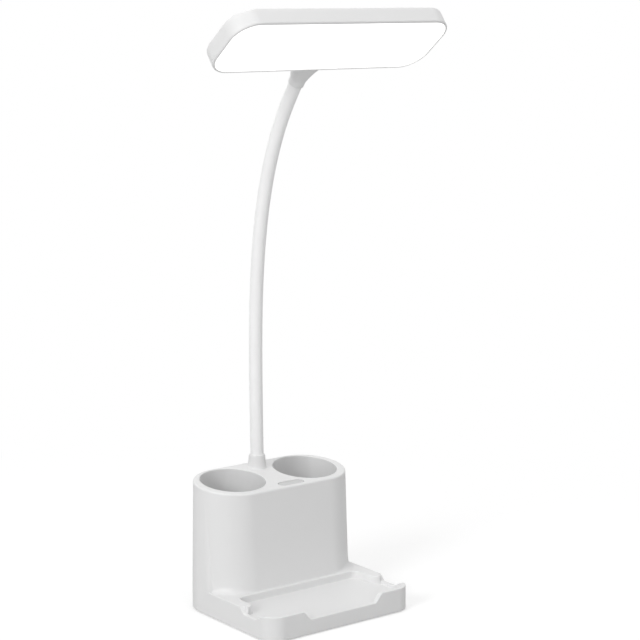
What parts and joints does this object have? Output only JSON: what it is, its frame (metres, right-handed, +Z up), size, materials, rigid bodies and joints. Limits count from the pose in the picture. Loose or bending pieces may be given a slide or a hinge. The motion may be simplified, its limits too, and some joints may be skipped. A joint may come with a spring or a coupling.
{
  "type": "desk lamp",
  "caption": "Desk lamp with a flexible neck and a flat lit head on a pen-holder column, with a dimmer key and an open phone tray in its base.",
  "frame": {"origin": "on the table, under the middle of the pen-holder column", "axes": "+Z up, -Y towards the tray and the user, +X to the user's right"},
  "size_m": [0.1984, 0.1364, 0.4685],
  "materials": {
    "shell": "fine satin moulded white",
    "key": "satin light grey",
    "sleeve": "soft satin white silicone",
    "steel": "plain steel",
    "foot_rubber": "matt grey",
    "board": "green circuit board",
    "chip": "matt black",
    "cell_wrap": "metal can in a blue shrink wrap",
    "lead_skin": "soft insulation",
    "diffuser": "milky white, lit from behind",
    "led_base": "metal board with a white mask",
    "led": "pale yellow phosphor"
  },
  "bodies": {
    "base": {"base_shell": "shell", "bottom_cover": "shell", "rubber_feet": "foot_rubber", "cover_screws": "steel", "steel_weight": "steel", "battery_cell": "cell_wrap", "battery_leads": "lead_skin", "control_board": "board", "board_parts": "chip", "board_screws": "steel", "usb_socket": "steel", "neck_lead": "lead_skin", "key_switch": "chip", "key_board": "board", "key_screws": "steel", "key_lead": "lead_skin", "neck_fitting": "steel", "neck_washer": "steel", "neck_nut": "steel", "neck_sleeve_root": "sleeve"},
    "key": {"key_cap": "key", "switch_plunger": "chip"},
    "link_1": {"neck_sleeve_1": "sleeve", "neck_hose_1": "steel"},
    "link_2": {"neck_sleeve_2": "sleeve", "neck_hose_2": "steel"},
    "link_3": {"neck_sleeve_3": "sleeve", "neck_hose_3": "steel"},
    "link_4": {"neck_sleeve_4": "sleeve", "neck_hose_4": "steel"},
    "link_5": {"neck_sleeve_5": "sleeve", "neck_hose_5": "steel"},
    "link_6": {"neck_sleeve_6": "sleeve", "neck_hose_6": "steel"},
    "link_7": {"neck_sleeve_7": "sleeve", "neck_hose_7": "steel"},
    "link_8": {"neck_sleeve_8": "sleeve", "neck_hose_8": "steel"},
    "link_9": {"neck_sleeve_9": "sleeve", "neck_hose_9": "steel"},
    "link_10": {"neck_sleeve_10": "sleeve", "neck_hose_10": "steel"},
    "link_11": {"neck_sleeve_11": "sleeve", "neck_hose_11": "steel"},
    "link_12": {"neck_sleeve_12": "sleeve", "neck_hose_12": "steel"},
    "head": {"neck_sleeve_tip": "sleeve", "tip_fitting": "steel", "head_collar": "shell", "collar_screws": "steel", "head_housing": "shell", "light_diffuser": "diffuser", "led_board": "led_base", "led_chips": "led", "led_screws": "steel"}
  },
  "joints": [
    {"name": "key_press", "type": "slide", "parent": "base", "child": "key", "axis": [0, 0.1132, -0.9936], "range_m": [0, 0.0008], "stiffness_N_per_m": 1500, "springref_m": -0.0003},
    {"name": "neck_tilt_1", "type": "hinge", "parent": "base", "child": "link_1", "pos_m": [0, 0.0183, 0.117], "axis": [1, 0, 0], "range_deg": [-8, 12]},
    {"name": "neck_sway_1", "type": "hinge", "parent": "link_1", "child": "link_2", "pos_m": [0, 0.01877, 0.142], "axis": [0, 0.9999, -0.0172], "range_deg": [-10, 10]},
    {"name": "neck_tilt_2", "type": "hinge", "parent": "link_2", "child": "link_3", "pos_m": [0, 0.01916, 0.16699], "axis": [1, 0, 0], "range_deg": [-8, 12]},
    {"name": "neck_sway_2", "type": "hinge", "parent": "link_3", "child": "link_4", "pos_m": [0, 0.01931, 0.19199], "axis": [0, 1, 0.0027], "range_deg": [-10, 10]},
    {"name": "neck_tilt_3", "type": "hinge", "parent": "link_4", "child": "link_5", "pos_m": [0, 0.01903, 0.21699], "axis": [1, 0, 0], "range_deg": [-8, 12]},
    {"name": "neck_sway_3", "type": "hinge", "parent": "link_5", "child": "link_6", "pos_m": [0, 0.01807, 0.24197], "axis": [0, 0.9984, 0.0569], "range_deg": [-10, 10]},
    {"name": "neck_tilt_4", "type": "hinge", "parent": "link_6", "child": "link_7", "pos_m": [0, 0.01618, 0.2669], "axis": [1, 0, 0], "range_deg": [-8, 12]},
    {"name": "neck_sway_4", "type": "hinge", "parent": "link_7", "child": "link_8", "pos_m": [0, 0.01307, 0.29171], "axis": [0, 0.9879, 0.1551], "range_deg": [-10, 10]},
    {"name": "neck_tilt_5", "type": "hinge", "parent": "link_8", "child": "link_9", "pos_m": [0, 0.00843, 0.31627], "axis": [1, 0, 0], "range_deg": [-8, 12]},
    {"name": "neck_sway_5", "type": "hinge", "parent": "link_9", "child": "link_10", "pos_m": [0, 0.00195, 0.34042], "axis": [0, 0.9531, 0.3026], "range_deg": [-10, 10]},
    {"name": "neck_tilt_6", "type": "hinge", "parent": "link_10", "child": "link_11", "pos_m": [0, -0.00669, 0.36388], "axis": [1, 0, 0], "range_deg": [-8, 12]},
    {"name": "neck_sway_6", "type": "hinge", "parent": "link_11", "child": "link_12", "pos_m": [0, -0.01775, 0.3863], "axis": [0, 0.8682, 0.4962], "range_deg": [-10, 10]},
    {"name": "neck_tilt_7", "type": "hinge", "parent": "link_12", "child": "head", "pos_m": [0, -0.03145, 0.40721], "axis": [1, 0, 0], "range_deg": [-8, 12]}
  ]
}
